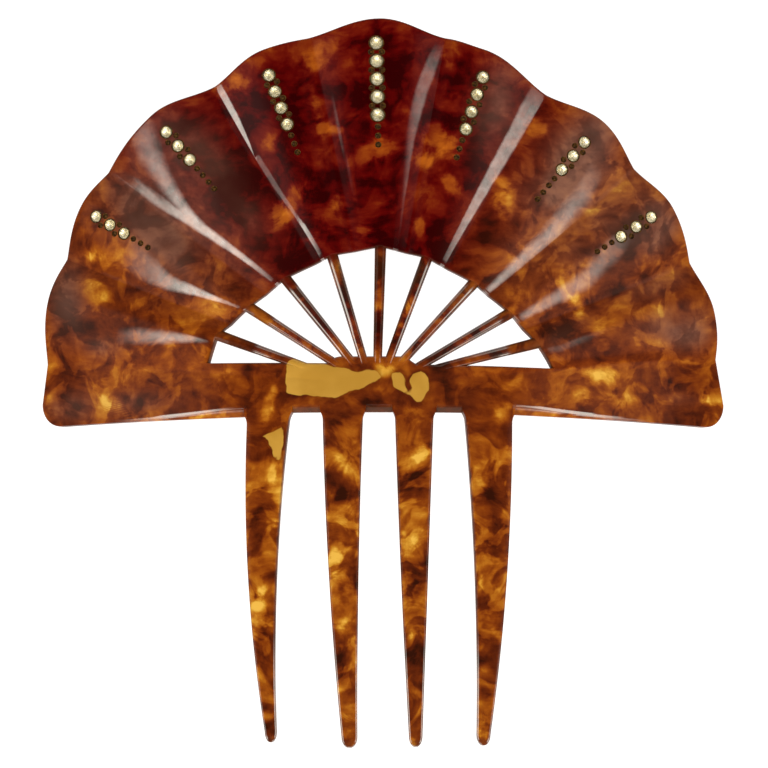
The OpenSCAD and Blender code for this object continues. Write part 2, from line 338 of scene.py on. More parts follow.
def addSheet(cuts):
    deselectAll()
    rings = [cutPoints(cut) for cut in cuts]
    rows, columns = len(rings), len(rings[0])
    bpy.ops.mesh.primitive_grid_add(x_subdivisions=rows, y_subdivisions=columns, size=1)
    piece = bpy.context.object
    piece.name = piece.data.name = "tortoiseshell_comb"
    places = [(round((v.co.x + 0.5) * rows) % rows, round((v.co.y + 0.5) * columns) % columns)
              for v in piece.data.vertices]
    for vertex, (row, column) in zip(piece.data.vertices, places):  # the grid is rolled into a ring
        vertex.co = rings[row][column]
    markVertices(piece, "cutRow", [row for row, column in places])
    markVertices(piece, "cutColumn", [column for row, column in places])
    markVertices(piece, "around", [0] * len(places))
    bpy.ops.object.mode_set(mode="EDIT")
    bpy.ops.mesh.select_all(action="SELECT")
    bpy.ops.mesh.remove_doubles(threshold=1e-5)
    bpy.ops.mesh.normals_make_consistent(inside=False)
    bpy.ops.mesh.select_all(action="DESELECT")
    return piece


toothForm = {
    "flare": 0.4,
    "flareRun": 1.6,
    "tipThickness": 1.6,
    "tipRound": 2.4,
    "mostRound": 0.42,        # share of the width or thickness that an edge's round may take
    "edgeRun": 3.0,           # the tooth's edges turn from square to round over this run
    "taperRun": 71,           # about how long a tooth gets thinner for
    "rootStations": [0.25, 0.55, 0.9, 1.3, 1.7, 2.2, 3.0],
    "stationStep": 1.8,
    "tipTurns": [14, 28, 41, 53, 64, 73, 81],
}


def halfSection(steps, half, thick, roundness):  # a tooth's front and left side, from its right corner
    r = min(sheet["edgeRound"], toothForm["mostRound"] * thick, toothForm["mostRound"] * half)
    square = [(half, thick / 2), (half - r / 2, thick / 2)]
    turns = (math.pi / 4, math.pi * 3 / 8)
    curved = [(half - r + r * math.cos(t), thick / 2 - r + r * math.sin(t)) for t in turns]
    flatSteps = steps - 4     # the corners take two points each
    flat = [(mix(half - r, r - half, k / flatSteps), thick / 2) for k in range(flatSteps + 1)]
    lower = (r - half - r * math.cos(math.pi / 8), thick / 2 - r + r * math.sin(math.pi / 8))
    sideSteps = sheet["endSteps"]
    side = [(-half, mix(thick / 2 - r, r - thick / 2, k / sideSteps)) for k in range(sideSteps + 1)]

    def mirrored(points):
        return [(-x, z) for x, z in reversed(points)]

    def flipped(point):
        return point[0], -point[1]

    squareLower = (-half, thick / 2 - r / 2)
    straight = square + flat + mirrored(square) + [squareLower] + side + [flipped(squareLower)]
    smooth = curved + flat + mirrored(curved) + [lower] + side + [flipped(lower)]
    return [mix(Vector(a), Vector(b), roundness) for a, b in zip(straight, smooth)]


def toothSection(tooth, steps, t, away, narrow, v):
    flare = toothForm["flare"] * max(0, 1 - away / toothForm["flareRun"]) ** 2
    left = mix(tooth[0], tooth[2], t) + tooth[4] * 4 * t * (1 - t) - flare
    right = mix(tooth[1], tooth[3], t) + tooth[5] * 4 * t * (1 - t) + flare
    thick = mix(sheet["thickness"], toothForm["tipThickness"], t) * mix(1, narrow, 0.5)
    half = halfSection(steps, (right - left) / 2 * narrow, thick, ease(away / toothForm["edgeRun"]))
    points = []
    for x, z in half + [-p for p in half]:
        root = barBottom(mix(tooth[0], tooth[1], clamp(x / (right - left) + 0.5)))
        points.append(((left + right) / 2 + x, mix(root, -sheet["barDrop"], t) - away if v is None else v,
                       sheet["thickness"] / 2 + z))
    return points


def growTooth(piece, cuts, index):  # the square end is opened and drawn out, station by station
    tooth = teeth[index]
    rows = [row for row, cut in enumerate(cuts) if cut[3] == index]
    first, last, steps = rows[0], rows[-1], len(rows) - 1
    front = sheet["frontSteps"]
    back = front + sheet["endSteps"] + 4  # past the points of the square end
    mesh = bmesh.from_edit_mesh(piece.data)
    row, column = mesh.verts.layers.int["cutRow"], mesh.verts.layers.int["cutColumn"]
    for face in mesh.faces:
        face.select_set(all(first <= v[row] <= last and front <= v[column] <= back for v in face.verts))
    bmesh.update_edit_mesh(piece.data)
    bpy.ops.mesh.delete(type="FACE")

    loop = [(r, front) for r in range(first, last + 1)] + [(last, c) for c in range(front + 1, back)]
    loop += [(r, back) for r in range(last, first - 1, -1)]
    loop += [(first, c) for c in range(back - 1, front, -1)]
    order = {place: k + 1 for k, place in enumerate(loop)}
    mesh = bmesh.from_edit_mesh(piece.data)
    row, column = mesh.verts.layers.int["cutRow"], mesh.verts.layers.int["cutColumn"]
    around = mesh.verts.layers.int["around"]
    for vertex in mesh.verts:
        vertex[around] = order.get((vertex[row], vertex[column]), 0)
        vertex.select_set(vertex[around] > 0)
    mesh.select_flush_mode()
    bmesh.update_edit_mesh(piece.data)

    run = -sheet["barDrop"] - tooth[6] - toothForm["tipRound"]
    straight = list(toothForm["rootStations"])
    straight += spread(straight[-1], run, toothForm["stationStep"])[1:]
    stations = [(away / run, away, 1, None) for away in straight]
    for angle in toothForm["tipTurns"]:
        turn = math.radians(angle)
        stations.append((1, run, math.cos(turn), tooth[6] + toothForm["tipRound"] * (1 - math.sin(turn))))
    for station in stations:
        points = toothSection(tooth, steps, *station)
        bpy.ops.mesh.extrude_region()
        mesh = bmesh.from_edit_mesh(piece.data)
        around = mesh.verts.layers.int["around"]
        for vertex in mesh.verts:
            if vertex.select:
                vertex.co = points[vertex[around] - 1]
        bmesh.update_edit_mesh(piece.data)
    bpy.ops.mesh.merge(type="CENTER")
    mesh = bmesh.from_edit_mesh(piece.data)
    around = mesh.verts.layers.int["around"]
    for vertex in mesh.verts:
        if vertex.select:
            vertex.co.y = tooth[6]
        vertex[around] = 0
        vertex.select_set(False)
    mesh.select_flush_mode()
    bmesh.update_edit_mesh(piece.data)


combMaterial = bpy.data.materials.new("faux_tortoiseshell")
grimeMaterial = bpy.data.materials.new("olive_grime")
cuts = list(wingCuts(-1)) + list(fanCuts()) + list(wingCuts(1))[::-1] + list(barCuts())
comb = addSheet(cuts)
comb.data.materials.append(combMaterial)
comb.data.materials.append(grimeMaterial)
for index in range(len(teeth)):
    growTooth(comb, cuts, index)
bpy.ops.object.mode_set(mode="OBJECT")
print("sheet and teeth:", len(comb.data.vertices), "vertices")


stickForm = {
    "rootWidth": 2.5,
    "footWidth": 1.9,
    "footV": 4.1,
    "thickness": 2.3,
    "rootSink": 0.1,          # below the face of the fan
    "footRelief": 0.15,       # above the face of the bar
    "runOn": 2.0,             # a foot runs this far onto the bar, and sinks into it
    "runSink": 0.7,
    "sinkLead": 0.5,          # how far before its foot a stick starts to sink
    "startShare": -0.05,      # share of its length that a stick starts inside the fan
    "sides": 28,
    "loops": 18,
    "squareness": 2.7,
}


def addStick(angle, reach, footU):
    deselectAll()
    bpy.ops.mesh.primitive_cylinder_add(vertices=stickForm["sides"], radius=1, depth=1)
    stick = bpy.context.object
    bpy.ops.object.mode_set(mode="EDIT")
    for k in range(1, stickForm["loops"]):
        bpy.ops.mesh.select_all(action="SELECT")
        bpy.ops.mesh.bisect(plane_co=(0, 0, k / stickForm["loops"] - 0.5), plane_no=(0, 0, 1))
    bpy.ops.object.mode_set(mode="OBJECT")
    root, foot = polar(angle, reach), Vector((footU, stickForm["footV"]))
    length, lead = (foot - root).length, stickForm["sinkLead"]
    along = (foot - root) / length
    across = Vector((-along.y, along.x))
    for vertex in stick.data.vertices:
        run = mix(stickForm["startShare"] * length, length + stickForm["runOn"], vertex.co.z + 0.5)
        t = clamp(run / length)
        sink = stickForm["runSink"] * ease((run - length + lead) / (stickForm["runOn"] + lead))
        x, z = [math.copysign(abs(c) ** (2 / stickForm["squareness"]), c) for c in vertex.co.xy]
        top = sheet["thickness"] + mix(-stickForm["rootSink"], stickForm["footRelief"], t)
        width = mix(stickForm["rootWidth"], stickForm["footWidth"], t)
        place = root + along * run + across * x * width / 2
        half = stickForm["thickness"] / 2 - sink
        vertex.co = (*place, top - stickForm["thickness"] / 2 + z * half)
    return stick


stickBundle = addStick(*sticks[0])
for stick in sticks[1:]:
    cutWith(stickBundle, addStick(*stick), "UNION")
cutWith(comb, stickBundle, "UNION")
print("sticks:", len(comb.data.vertices), "vertices")


# A drilled hole is turned: its mouth, then each further ring as its radius and its depth.
drilling = {
    "seatSides": 32,
    "seatGap": 0.08,
    "mouth": 0.2,             # the dark dish around a stone
    "mouthDepth": 0.16,
    "wall": 0.55,
    "floorShare": 0.4,
    "seatDepth": 1.4,
    "pitSides": 20,
    "pitRadius": 0.68,
    "pitRings": [(0.6, 0.3), (0.46, 0.42), (0.3, 0.34), (0.12, 0.27)],
    "pitLead": 2.6,
    "pitPitch": 2.0,
    "pitOffset": 1.15,
}


def addDrill(sides, radius, rings):
    deselectAll()
    bpy.ops.mesh.primitive_cylinder_add(vertices=sides, radius=radius, depth=1, location=(0, 0, 0.5))
    drill = bpy.context.object
    bpy.ops.object.transform_apply()
    bpy.ops.object.mode_set(mode="EDIT")
    mesh = bmesh.from_edit_mesh(drill.data)
    for face in mesh.faces:
        face.select_set(face.normal.z < -0.9)
    bmesh.update_edit_mesh(drill.data)
    depth = 0
    for ringRadius, ringDepth in rings:
        bpy.ops.mesh.extrude_region_move(TRANSFORM_OT_translate={"value": (0, 0, depth - ringDepth)})
        shrink = ringRadius / radius
        bpy.ops.transform.resize(value=(shrink, shrink, 1), center_override=(0, 0, -ringDepth))
        depth, radius = ringDepth, ringRadius
    bpy.ops.object.mode_set(mode="OBJECT")
    drill.data.materials.append(combMaterial)
    drill.data.materials.append(grimeMaterial)
    for face in drill.data.polygons:
        face.material_index = 1
    return drill


def copiesAt(drill, points):
    holes = []
    for point in points:
        hole = drill.copy()
        hole.data = drill.data.copy()
        hole.data.transform(Matrix.Translation((*point, sheet["thickness"])))
        bpy.context.collection.objects.link(hole)
        holes.append(hole)
    bpy.data.objects.remove(drill)
    return holes


def stonePoint(row, s):
    return polar(row[0], row[1] - s * row[2])


def pitPoints(row):
    angle, reach, pitch, count = row[:4]
    turn = math.radians(angle)
    for s in range(count - 1):
        for side in (-1, 1):
            across = Vector((math.sin(turn), math.cos(turn))) * drilling["pitOffset"] * side
            yield polar(angle, reach - (s + 0.5) * pitch) + across
    for k in range(row[5]):
        yield polar(angle, reach - (count - 1) * pitch - drilling["pitLead"] - k * drilling["pitPitch"])


seats = []
for row in stoneRows:
    radius = row[4] / 2 + drilling["seatGap"]
    seat = addDrill(drilling["seatSides"], radius + drilling["mouth"], [
        (radius, drilling["mouthDepth"]), (radius, drilling["wall"]),
        (drilling["floorShare"] * row[4], drilling["seatDepth"]),
    ])
    seats += copiesAt(seat, [stonePoint(row, s) for s in range(row[3])])
cutWith(comb, joinPieces(seats), "DIFFERENCE")
pit = addDrill(drilling["pitSides"], drilling["pitRadius"], drilling["pitRings"])
pitPlaces = [point for row in stoneRows for point in pitPoints(row)]
cutWith(comb, joinPieces(copiesAt(pit, pitPlaces)), "DIFFERENCE")
print("seats and pits:", len(comb.data.vertices), "vertices")


def pressed(u, v, w):
    return bent(u, v, w + pleatHeight(u, v))


flatPoints = [vertex.co.copy() for vertex in comb.data.vertices]
places = [pressed(*point) for point in flatPoints]
lowest = Vector([min(p[axis] for p in places) for axis in range(3)])
highest = Vector([max(p[axis] for p in places) for axis in range(3)])
combLow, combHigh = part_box("comb")
foot = Vector(((lowest.x + highest.x) / 2, (lowest.y + highest.y) / 2, lowest.z))
foot -= Vector(((combLow.x + combHigh.x) / 2, (combLow.y + combHigh.y) / 2, combLow.z)) * 1000
mm = 0.001                    # metres in a millimetre
hub = (bent(0, 0, sheet["thickness"]) - foot) * mm

photoView = {
    "tilt": 6,                # degrees from straight above, towards the top of the fan
    "distance": 1.5,
    "frameWidth": 0.16896,    # at the hub
    "hubOffset": (0.00022, 0.00022),
    "clipEnd": 10,
}
tilt = math.radians(photoView["tilt"])
towardsCamera = Vector((0, math.sin(tilt), math.cos(tilt)))
photoUp = Vector((0, math.cos(tilt), -math.sin(tilt)))


def frontPlace(point):  # millimetres right of the hub and above it, as the comb is seen from its front
    away = point - hub
    nearer = photoView["distance"] / (photoView["distance"] - away.dot(towardsCamera))
    return away.x * nearer / mm, away.dot(photoUp) * nearer / mm


for vertex, place in zip(comb.data.vertices, places):
    vertex.co = (place - foot) * mm
for name in ("cutRow", "cutColumn", "around"):
    comb.data.attributes.remove(comb.data.attributes[name])
makeActive(comb)
bpy.ops.object.shade_smooth_by_angle(angle=math.radians(sheet["smoothBelow"]))
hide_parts("comb")
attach(comb, "root")
print("comb:", len(comb.data.polygons), "faces")


stoneCut = {
    "table": 0.56,            # shares of the radius
    "star": 0.8,
    "crown": 0.45,            # heights in millimetres
    "girdle": 0.12,
    "pavilion": 1.05,
    "turnStep": 37,
    "flatWithin": 1.5,        # degrees between faces that become one facet
    "foilBelow": -0.1,        # faces that look down by more than this are foil
}
glassMaterial = bpy.data.materials.new("crystal_glass")
foilMaterial = bpy.data.materials.new("aged_foil")


def addStoneBlank():  # a sphere's four rings become table, star, girdle and culet
    deselectAll()
    bpy.ops.mesh.primitive_uv_sphere_add(segments=16, ring_count=4, radius=1)
    blank = bpy.context.object
    tableRadius = stoneCut["table"]
    fall = (1 - stoneCut["star"] * math.cos(math.pi / 8)) / (1 - tableRadius)
    for vertex in blank.data.vertices:
        segment = round(math.atan2(vertex.co.y, vertex.co.x) / (math.pi / 8))
        turn = segment * math.pi / 8
        if vertex.co.z > 0.99:
            radius, height = 0, stoneCut["crown"]
        elif vertex.co.z > 0.5:
            corner = segment % 2
            radius = tableRadius if corner else stoneCut["star"]
            height = stoneCut["crown"] * (1 if corner else fall)
        elif vertex.co.z > -0.5:
            radius, height = 1, 0
        elif vertex.co.z > -0.99:
            radius, height = 1, -stoneCut["girdle"]
        else:
            radius, height = 0, -stoneCut["pavilion"]
        vertex.co = (radius * math.cos(turn), radius * math.sin(turn), height)
    bpy.ops.object.mode_set(mode="EDIT")
    bpy.ops.mesh.select_all(action="SELECT")
    bpy.ops.mesh.convex_hull()
    bpy.ops.mesh.select_all(action="SELECT")
    bpy.ops.mesh.dissolve_limited(angle_limit=math.radians(stoneCut["flatWithin"]))
    bpy.ops.object.mode_set(mode="OBJECT")
    blank.data.materials.append(glassMaterial)
    blank.data.materials.append(foilMaterial)
    for face in blank.data.polygons:
        face.material_index = 1 if face.normal.z < stoneCut["foilBelow"] else 0
    return blank


stoneBlank = addStoneBlank()
count = 0
for r, row in enumerate(stoneRows):
    for s in range(row[3]):
        u, v = stonePoint(row, s)
        stone = stoneBlank.copy()
        stone.data = stoneBlank.data.copy()
        name = f"stone_{r + 1}_{s + 1}"
        stone.name = stone.data.name = "cut_" + name
        bpy.context.collection.objects.link(stone)
        place = (pressed(u, v, sheet["thickness"]) - foot) * mm
        turn = u / sheet["bendRadius"] + math.radians(sheet["roll"])
        stone.data.transform(
            Matrix.Translation(place)
            @ Matrix.Rotation(-math.radians(sheet["lean"]), 4, "X")
            @ Matrix.Rotation(turn, 4, "Y")
            @ Matrix.Rotation(math.radians(stoneCut["turnStep"] * count), 4, "Z")
            @ Matrix.Diagonal((row[4] / 2 * mm, row[4] / 2 * mm, mm, 1))
        )
        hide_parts(name)
        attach(stone, "root")
        count += 1
bpy.data.objects.remove(stoneBlank)
print("stones:", count)


# The tortoiseshell pattern: broad fields by place, which the material stirs with noise. Places
# are millimetres right of the hub and above it, as the photo shows them.
# x, y, half length, half width, turn, how much lighter or darker
shadePatches = [
    (-58.5, 26.5, 7, 3, -25, 0.14),
    (33, 48, 11, 8, 50, 0.08),
    (42, 33, 11, 8, 30, 0.08),
    (56, 3, 16, 9, 0, 0.10),
    (13, 48, 16, 6, 72, 0.08),
    (-69.7, 18.7, 8.5, 4.6, 90, -0.30),
    (-50.5, 34.5, 13, 4.6, -46, -0.26),
    (54, 32, 11, 5, 28, -0.14),
    (43, 50, 8, 4, 50, -0.10),
    (66, 9, 6, 4, 0, -0.12),
    (39, 12, 8, 3, 25, -0.10),
]
# the same columns, for patches with a ragged outline
tonePatches = [
    # the first three rows are painted highlights: faint reflection lines beside the creases, lightened in
    # the colour
    (-12.5, 51.5, 20, 1.1, -77, 0.16),
    (-8, 51.5, 20, 0.8, -79, 0.12),
    (6.5, 53, 22, 1.3, 80, 0.10),
    (-14, 60, 5, 3, 90, 0.16),
    (18, 33.5, 5, 3, 0, 0.12),
    (-10, 40, 4, 2, 45, 0.18),
    (3, 62, 3, 4, 0, 0.04),
    (-1.3, 51.3, 4.8, 2.8, 20, 0.46),
    (12.5, 54, 4.4, 3.2, -30, 0.50),
    (8.4, 49.5, 3.2, 2.1, 0, 0.36),
    (15.2, 44, 4.4, 1.7, -45, 0.36),
    (-22.4, 37.6, 4.4, 2.6, 60, 0.52),
    (-17.8, 42.9, 3.2, 2.1, 0, 0.32),
    (-13.9, 72.6, 4.8, 2.5, 40, 0.42),
    (14.7, 72.2, 2.5, 2.5, 0, 0.48),
    (26, 41, 6.4, 2.4, 100, 0.48),
    (-24.4, 53.5, 3.2, 2.2, 0, 0.32),
    (-32.6, 66.2, 4.4, 3.2, 30, 0.30),
    (8, 35, 2.8, 1.3, 90, 0.36),
    (-11.7, 56, 2.8, 1.2, 0, 0.34),
    (33.4, 56.8, 2.8, 2.6, 0, 0.42),
    (-4.6, 33.7, 2.8, 1.6, 0, 0.36),
    (-15, 33, 3, 1.8, 60, 0.22),
    (-5.5, 68, 9, 2.8, 90, -0.10),
    (15.4, 65, 5, 2.8, 80, -0.10),
    (-20, 49, 4, 3, 0, -0.08),
    (-63.8, 28.4, 4.6, 2.2, 0, 0.18),
    (-63, 21, 5.4, 2.8, -50, 0.20),
    (-66, 33, 3, 6, -20, 0.12),
    (-38, 17, 7, 3, -10, 0.14),
    (-40, 9, 2.6, 2.6, 0, -0.16),
    (-70, 16, 4.5, 2, 90, -0.20),
    (1.2, 3.4, 2.6, 1.5, 20, 0.20),
    (41, 24, 8, 2.4, 35, 0.30),
    (47, 26, 6, 1.6, 60, 0.18),
    (45, 38, 12, 1.6, 32, 0.12),
    (52, 43, 8, 1.6, 36, 0.10),
    (-61.8, 8.4, 3.8, 1.8, 0, -0.22),
    (-54, 7.2, 4.2, 1.7, 0, 0.22),
    (-52.6, 1.5, 3.8, 2.8, 0, 0.26),
    (-48, 2.5, 4, 1.7, 90, -0.24),
    (-43, 7, 4, 2.4, 0, 0.14),
    (-35, 2, 5, 2.6, 0, 0.18),
    (-61.5, -3.4, 7, 1.3, -50, 0.24),
    (-57.5, -4.8, 5, 0.9, -50, 0.30),
    (-69, -4.8, 4.4, 3.2, 0, -0.22),
    (-52.6, -3.8, 6, 2, 0, -0.22),
    (-45, 34, 5, 3, -40, 0.14),
    (-36, 26, 4, 2, -30, 0.16),
    (-27, 1, 4, 3.2, 0, -0.10),
    (-25, -4, 6.4, 1.7, 70, 0.28),
    (59.4, 27.7, 3.2, 1.6, 0, 0.18),
    (50, 20.4, 5.4, 2, 25, -0.24),
    (58.3, 15.8, 4.4, 2.1, 0, 0.34),
    (42.5, 18.3, 6, 1.8, 100, 0.28),
    (48.8, 13, 4, 3, 0, 0.12),
    (69.8, 16, 4, 2.2, 90, 0.28),
    (67, 10.8, 5.4, 3.2, 0, -0.18),
    (49.3, 1.8, 3.8, 2.6, 0, 0.24),
    (44, -1, 2.6, 5, 0, 0.16),
    (68, 4.7, 2.6, 1.6, 0, 0.22),
    (70.8, -2.4, 1.5, 1.5, 0, 0.40),
    (50, -3, 7.4, 1.9, 0, 0.20),
    (63, 0.2, 5.2, 2.8, 0, -0.18),
    (38.5, 10.8, 4.4, 2.1, 30, -0.18),
    (29.6, 20, 4.6, 2.1, -30, 0.28),
    (28.6, -1, 4.4, 3.2, 20, 0.16),
    (16, 0.5, 5.4, 3, 0, -0.12),
    (-3, -4.2, 5, 1.8, 0, -0.24),
    (-1, 3.5, 4, 1.6, -20, 0.16),
]
# the same columns, along the teeth
tonePatches += [
    (-24.5, -20, 2.4, 1.2, 90, 0.40),
    (-26.5, -28.5, 3.8, 3, 0, -0.20),
    (-27.2, -46.8, 2.9, 1.7, 60, 0.46),
    (-26, -60, 7, 1.9, 100, -0.26),
    (-8.8, -7.8, 4.4, 2, 0, -0.24),
    (-9, -17.4, 4.2, 2.4, 0, 0.26),
    (-9.5, -25, 2.8, 1.7, 45, -0.36),
    (-6.6, -26.6, 2.6, 1.4, 70, 0.34),
    (-10.8, -39.3, 4, 1.6, 75, 0.46),
    (-7.6, -45.5, 4.6, 2.6, 60, -0.28),
    (-8.6, -53.5, 3, 2.8, 0, 0.24),
    (-8.4, -61, 3.6, 1.9, 80, -0.32),
    (-7.5, -76, 3, 3, 0, 0.24),
    (6.6, -6.2, 4.4, 2.2, 0, 0.16),
    (8.6, -15.2, 2.8, 1.7, 60, 0.44),
    (6.6, -20.6, 3.6, 2.6, 0, -0.26),
    (8.8, -26, 3.2, 1.4, 110, 0.24),
    (7.4, -35, 3.6, 1.8, 60, 0.46),
    (7, -44, 5.6, 2.8, 90, -0.22),
    (6.6, -54.5, 1.7, 2.2, 0, 0.24),
    (7, -60, 2.4, 1.8, 0, -0.26),
    (6.8, -67, 3.8, 1.2, 90, -0.20),
    (25.8, -6.6, 3.2, 2.2, 80, 0.22),
    (22.6, -19, 7.6, 3.4, 100, -0.20),
    (21.2, -43.8, 1.8, 0.9, 80, 0.44),
    (23.2, -52, 6, 2.4, 90, 0.08),
    (22.6, -62.4, 1.7, 1.9, 0, 0.26),
    (22.6, -67.4, 2.4, 1.7, 0, -0.26),
    (22.4, -76, 2.8, 1.7, 0, 0.24),
]
# the same columns, with the strength of a painted purple-grey sheen, a reflection painted into the
# colour, as the last
paintedSheenPatches = [
    (-69.7, 18.7, 9, 4.2, 90, 1),
    (-69, -4.8, 4.8, 3.6, 0, 0.70),
    (-54, -4, 7, 2.4, 0, 0.50),
    (-61.8, 8.4, 4.6, 2.4, 0, 0.60),
    (-50.5, 34.5, 13, 5, -46, 1.3),
    (-44, 54, 8, 4, -50, 0.50),
    (-36, 48, 9, 3.6, -60, 0.30),
    (-31, 38, 7, 3, -50, 0.35),
    (24.6, 61.6, 10.5, 4.8, 72, 0.80),
    (43, 51.7, 12, 5.4, 50, 1),
    (60, 34, 6, 6, 30, 0.60),
    (64, 14, 9, 4, 10, 0.50),
    (38, 42, 7, 4, 50, 0.50),
    (53.9, 33, 11, 5.2, 28, 0.80),
    (60, 22, 8, 3, 20, 0.40),
    (67, 10.8, 5.8, 3.4, 0, 0.80),
    (39.5, 11, 6, 2.4, 25, 0.70),
    (66, -3, 4, 1.8, 0, 0.30),
    (-43, 44, 24, 13, -50, 0.35),
    (45, 42, 26, 14, 45, 0.40),
]
tones = {
    "fanMiddle": 0.10,
    "fanSide": 0.34,
    "leftTurn": (28, 54),     # angles over which the dark middle of the fan turns brown
    "rightTurn": (142, 104),
    "rimLift": 0.20,
    "rimWidth": 5,
    "rimLoss": 0.6,           # share of the lift that the sides of the fan don't get
    "bar": 0.32,
    "tooth": 0.45,
    "stick": 0.28,
    "stickBrown": 0.5,
    "bevelLift": 0.22,
    "bevelRise": 2.5,         # how soon a bevel gets its own look as it deepens
    "bevelMargin": 0.2,       # how far above a bevel its own look starts
    "hubRun": 29,             # all that is nearer to the hub is bar, stick or tooth
    "barRun": (31, 41),       # how far out the bar's pattern turns into the wings'
    "toothRun": 14,           # how far down the bar's pattern turns into the teeth's
    "stickRun": (6, 11),      # how far up it turns into the sticks'
}
# The press leaves the sides of the creases brighter than the rest of the fan.
# angle, reach, half width in degrees and gloss, from the scalloped edge to the windows
glossStrips = [
    [(11.3, 61, 2.6, 0.0), (12.2, 56, 2.6, 0.25), (13.1, 50, 2.3, 0.6), (14.2, 44, 1.9, 0.7),
     (15.8, 38, 1.4, 0.2)],
    [(29.0, 66, 4.4, 0.0), (27.0, 58, 3.6, 0.25), (26.4, 52, 2.4, 0.6), (27.2, 47, 1.7, 1.0),
     (28.4, 40, 0.9, 1.0), (29.4, 35, 0.6, 0.8)],
    [(39.2, 78, 1.0, 0.0), (39.6, 73, 1.2, 0.35), (39.8, 65, 1.3, 0.5), (41.1, 56, 1.4, 0.9),
     (42.0, 50, 1.6, 1.0), (43.0, 43, 1.2, 1.0), (44.4, 33, 1.1, 1.0)],
    [(47.4, 79, 3.4, 0.2), (45.6, 73, 3.4, 0.4), (43.4, 65, 2.4, 0.55), (42.3, 57, 1.3, 1.0),
     (42.1, 52, 1.2, 1.0)],
    [(61.6, 76.5, 0.7, 0.3), (61.4, 74, 1.0, 0.8), (61.1, 67, 1.3, 1.0), (60.9, 61, 0.9, 0.9),
     (60.6, 56, 0.2, 0.7)],
    [(61.6, 58, 0.8, 0.15), (62.4, 48, 0.8, 0.22), (63.6, 41, 0.6, 0.3), (64.0, 39.4, 0.9, 1.0),
     (64.9, 33, 1.0, 1.0)],
    [(76.7, 76, 0.6, 0.0), (75.4, 64, 0.8, 0.12), (74.3, 55, 1.1, 0.14), (74.9, 38, 1.1, 0.10)],
    [(79.9, 71, 0.4, 0.0), (80.3, 60, 0.6, 0.14), (80.8, 52, 0.6, 0.12), (82.5, 36, 0.8, 0.12)],
    [(99.2, 77, 1.0, 0.0), (98.4, 72, 1.4, 0.22), (97.3, 66, 1.5, 0.3), (95.9, 55, 1.5, 0.34),
     (95.1, 32, 1.3, 0.42)],
    [(118.0, 76, 2.4, 0.0), (117.4, 70, 2.0, 0.4), (117.2, 64, 1.8, 0.55),
     (116.9, 55, 1.8, 0.62), (115.8, 32, 1.2, 0.7)],
    [(133.8, 69, 2.6, 0.0), (135.6, 62, 3.2, 0.3), (137.2, 52, 3.4, 0.5),
     (137.3, 31, 2.2, 0.65)],
    [(147.0, 66, 3.0, 0.0), (148.4, 60, 3.4, 0.2), (151.8, 50, 3.2, 0.38),
     (152.8, 35, 2.2, 0.5)],
    [(163.0, 54, 2.6, 0.0), (165.5, 46, 2.4, 0.10), (167.5, 40, 1.6, 0.12)],
]
stripRunOn = 4                # millimetres that a strip goes on past its last row
outsideStrip = -2.0           # stands for anything far outside the strips
# half width of the soft side of each strip, as a share of its width
stripSoftness = [0.9, 0.7, 0.7, 1.0, 0.3, 0.5, 0.7, 0.7, 0.5, 0.4, 0.9, 0.9, 0.9]
# how glossy the rest is
polish = {
    "fan": 0.008,
    "bar": 0.3,
    "barRun": (17, 26),       # how far out from the hub the bar's polish fades
    "middleStick": 0.03,
    "stick": 1.0,
    "stickTurn": (10, 26),    # degrees off the middle over which the sticks get their polish
    "bevelLine": 1.0,
    "bevelLineWidth": 0.45,
    "sideFall": 0.02,         # a tooth's side is more than this below its face
    "sideTop": 4,             # lower than this above the bar's lower edge
    "sideMargin": 0.5,        # and within this of the outer teeth
    "toothSide": 0.06,
    "tip": 1.0,
    "tipRun": (52, 68),       # how far down the teeth their sides get their polish
    "power": 3,               # keeps a polished line thin between two rows of points
}
# how far below a face the painted shade of the edges sets in, and the share of it that a bevel gets
edgeShade = {
    "run": 0.3,
    "stickRun": 0.12,
    "bevel": 0.2,
    "leastBevel": 0.1,        # shallower ones count as an edge
    "bevelMargin": 0.3,       # how far above its border a bevel counts from
    "bevelFloor": 0.9,        # and how far above the back it ends
}
# how strongly the pattern is stirred
stirs = {"fanMiddle": 1.0, "fanSide": 1.3, "bar": 1.15, "stick": 1.8, "tooth": 1.5}
# a patch falls off like a bell, to 0.3 of its strength at its outline
bell = {"steepness": 1.2, "cutOff": 3}
paleBox = (-32, 14, -18, 9)   # left, right, bottom and top of the part of the comb with pale patches
farOutside = 3.0              # millimetres, where the distance from a pale patch stops counting
noBevel = (-9.0, 0.0)
# flat pale patches with a hard edge: outlines as x, y
paleOutlines = [
    [(-21.3, 4.6), (-20.4, 5.6), (-14.7, 5.4), (-12.5, 4.8), (-8.6, 3.5), (-6.2, 2.9), (-3.7, 3.4),
     (-1.2, 3.2), (-0.6, 1.8), (-2.0, 0.4), (-4.2, -0.8), (-7.2, -1.4), (-10.2, -2.6), (-13.5, -2.9),
     (-17.0, -2.4), (-21.2, -1.9)],
    [(2.0, 2.6), (3.4, 3.2), (4.6, 2.2), (5.0, 0.0), (5.9, -1.6), (6.3, -0.6), (5.9, 0.8), (6.6, 2.4),
     (8.4, 2.8), (10.0, 1.6), (10.3, -1.2), (9.2, -3.0), (7.9, -3.9), (6.4, -2.8), (4.2, -1.8),
     (2.4, -0.4)],
    [(-26.6, -11.6), (-24.0, -10.2), (-21.8, -8.8), (-21.8, -14.0), (-22.6, -16.6), (-24.6, -16.2),
     (-24.4, -13.4)],
]


def smoothBump(x, y, patch):
    px, py, halfLength, halfWidth, turn, lift = patch
    if abs(x - px) + abs(y - py) > bell["cutOff"] * (halfLength + halfWidth):
        return 0.0
    turn = math.radians(turn)
    along = ((x - px) * math.cos(turn) + (y - py) * math.sin(turn)) / halfLength
    across = ((y - py) * math.cos(turn) - (x - px) * math.sin(turn)) / halfWidth
    return lift * math.exp(-(along * along + across * across) * bell["steepness"])


